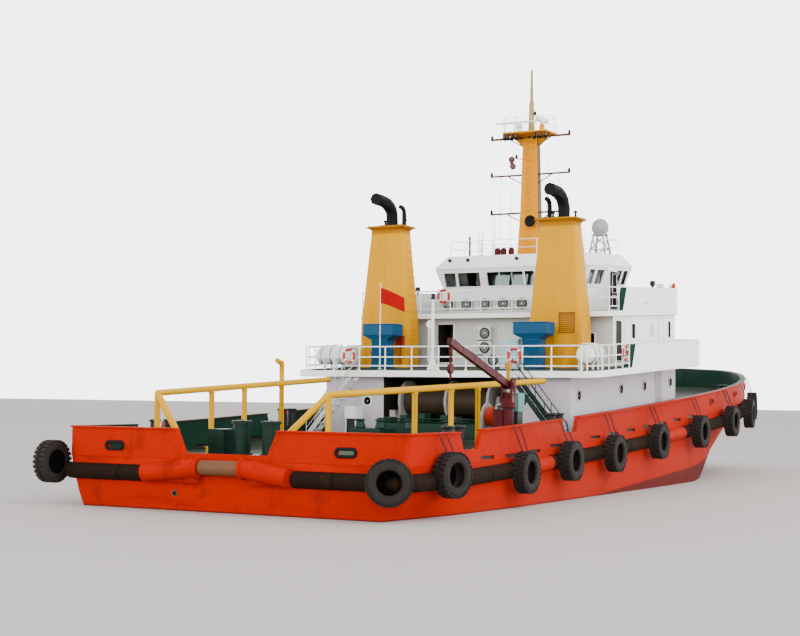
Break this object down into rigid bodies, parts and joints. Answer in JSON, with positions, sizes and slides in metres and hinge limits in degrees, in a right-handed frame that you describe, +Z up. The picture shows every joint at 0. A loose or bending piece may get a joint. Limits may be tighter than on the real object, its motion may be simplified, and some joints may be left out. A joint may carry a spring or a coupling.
{
  "type": "ocean tugboat, 1:2 scale model",
  "caption": "Twin-screw ocean tugboat: open towing deck with stern roller, tyre fenders, twin funnels, wheelhouse, mast and deck crane; a 1:2 scale model.",
  "frame": {"origin": "on the centreline at the waterline, in the plane of the transom", "axes": "+X forward to the bow, +Y to port, +Z up from the water"},
  "size_m": [25.5721, 8.02, 12.515],
  "materials": {
    "hull_paint": "semi-gloss orange-red topside paint, weathered",
    "antifouling": "matt red-brown bottom paint",
    "rubber": "worn black rubber and tyres",
    "roller_steel": "rusty worn steel",
    "deck_sheathing": "worn grey-green deck paint",
    "green_steel": "dark green deck paint",
    "yellow_paint": "semi-gloss yellow paint",
    "black_steel": "satin black paint",
    "white_paint": "semi-gloss white paint with slight rust streaks",
    "white_plastic": "white moulded plastic",
    "blue_paint": "blue paint",
    "maroon_paint": "maroon paint",
    "winch_grey": "grey machinery paint",
    "winch_orange": "orange-red machinery paint",
    "bronze": "cast bronze"
  },
  "bodies": {
    "ship": {"aircon_row": "white_paint", "anchor_port": "black_steel", "anchor_starboard": "black_steel", "bitts_aft_port": "black_steel", "bitts_aft_starboard": "black_steel", "bitts_mid_port": "black_steel", "bitts_mid_starboard": "black_steel", "boat_deck": "white_paint", "boat_deck_rail_aft": "white_paint", "boat_deck_rail_port": "white_paint", "boat_deck_rail_starboard": "white_paint", "bridge_deck": "white_paint", "bridge_deck_rail": "white_paint", "bulwark": "hull_paint", "cargo_rail_port": "yellow_paint", "cargo_rail_starboard": "yellow_paint", "crane_post": "maroon_paint", "exhaust_port": "black_steel", "exhaust_starboard": "black_steel", "fenders_port": "rubber", "fenders_starboard": "rubber", "funnel_port": "yellow_paint", "funnel_starboard": "yellow_paint", "hull": "hull_paint", "liferaft_port": "white_plastic", "liferaft_starboard": "white_plastic", "main_deckhouse": "white_paint", "mast": "yellow_paint", "nozzle_port": "antifouling", "nozzle_starboard": "antifouling", "satellite_dome": "white_plastic", "side_winch_frame": "winch_grey", "stairs_port": "winch_grey", "stairs_starboard": "green_steel", "tow_pins": "green_steel", "upper_deckhouse": "white_paint", "ventilator_port": "blue_paint", "ventilator_starboard": "blue_paint", "wheelhouse": "white_paint", "wheelhouse_roof": "white_paint", "winch_frame": "winch_grey", "windlass_frame": "green_steel", "work_deck": "deck_sheathing"},
    "stern_roller": {"stern_roller": "roller_steel"},
    "winch_drum": {"winch_drum": "winch_grey"},
    "side_winch_drum": {"side_winch_drum": "winch_orange"},
    "windlass_drum": {"windlass_drum": "green_steel"},
    "propeller_port": {"propeller_port": "bronze"},
    "propeller_starboard": {"propeller_starboard": "bronze"},
    "rudder_port": {"rudder_port": "antifouling"},
    "rudder_starboard": {"rudder_starboard": "antifouling"},
    "radar_scanner": {"radar_scanner": "white_plastic"},
    "crane_column": {"crane_column": "maroon_paint"},
    "crane_boom": {"crane_boom": "maroon_paint"},
    "crane_hook": {"crane_hook": "black_steel"},
    "upper_door": {"upper_door": "white_paint"},
    "wing_door_port": {"wing_door_port": "white_paint"},
    "wing_door_starboard": {"wing_door_starboard": "white_paint"}
  },
  "joints": [
    {"name": "stern_roller_spin", "type": "hinge", "parent": "ship", "child": "stern_roller", "pos_m": [-0.14, 0, 0.795], "axis": [0, 1, 0], "continuous": true},
    {"name": "winch_drum_spin", "type": "hinge", "parent": "ship", "child": "winch_drum", "pos_m": [8.75, 0, 1.95], "axis": [0, 1, 0], "continuous": true},
    {"name": "side_winch_spin", "type": "hinge", "parent": "ship", "child": "side_winch_drum", "pos_m": [6.45, -2.15, 1.675], "axis": [0, 1, 0], "continuous": true},
    {"name": "windlass_spin", "type": "hinge", "parent": "ship", "child": "windlass_drum", "pos_m": [19.25, 0, 2.225], "axis": [0, 1, 0], "continuous": true},
    {"name": "propeller_port_spin", "type": "hinge", "parent": "ship", "child": "propeller_port", "pos_m": [1.825, 1.5, -1.39], "axis": [1, 0, 0], "continuous": true},
    {"name": "propeller_starboard_spin", "type": "hinge", "parent": "ship", "child": "propeller_starboard", "pos_m": [1.825, -1.5, -1.39], "axis": [1, 0, 0], "continuous": true},
    {"name": "rudder_port_turn", "type": "hinge", "parent": "ship", "child": "rudder_port", "pos_m": [0.85, 1.5, -0.8], "axis": [0, 0, 1], "range_deg": [-35, 35]},
    {"name": "rudder_starboard_turn", "type": "hinge", "parent": "ship", "child": "rudder_starboard", "pos_m": [0.85, -1.5, -0.8], "axis": [0, 0, 1], "range_deg": [-35, 35]},
    {"name": "radar_spin", "type": "hinge", "parent": "ship", "child": "radar_scanner", "pos_m": [12.69, -0.425, 8.85], "axis": [0, 0, 1], "continuous": true},
    {"name": "crane_slew", "type": "hinge", "parent": "ship", "child": "crane_column", "pos_m": [5, -3.15, 1.925], "axis": [0, 0, 1], "range_deg": [-120, 120]},
    {"name": "crane_luff", "type": "hinge", "parent": "crane_column", "child": "crane_boom", "pos_m": [5, -3.15, 2.31], "axis": [0, 1, 0], "range_deg": [0, 50]},
    {"name": "hook_swing", "type": "hinge", "parent": "crane_boom", "child": "crane_hook", "pos_m": [2.525, -3.15, 2.97], "axis": [0, 1, 0], "range_deg": [-50, 0]},
    {"name": "upper_door_swing", "type": "hinge", "parent": "ship", "child": "upper_door", "pos_m": [10.445, 1.3, 3], "axis": [0, 0, 1], "range_deg": [-90, 90]},
    {"name": "wing_door_port_swing", "type": "hinge", "parent": "ship", "child": "wing_door_port", "pos_m": [13.58, 2.0875, 4.35], "axis": [0, 0, 1], "range_deg": [-95, 0]},
    {"name": "wing_door_starboard_swing", "type": "hinge", "parent": "ship", "child": "wing_door_starboard", "pos_m": [13.58, -2.0875, 4.35], "axis": [0, 0, 1], "range_deg": [0, 95]}
  ],
  "couplings": [
    {"joint": "rudder_starboard_turn", "follows": "rudder_port_turn", "ratio": 1},
    {"joint": "hook_swing", "follows": "crane_luff", "ratio": -1}
  ]
}
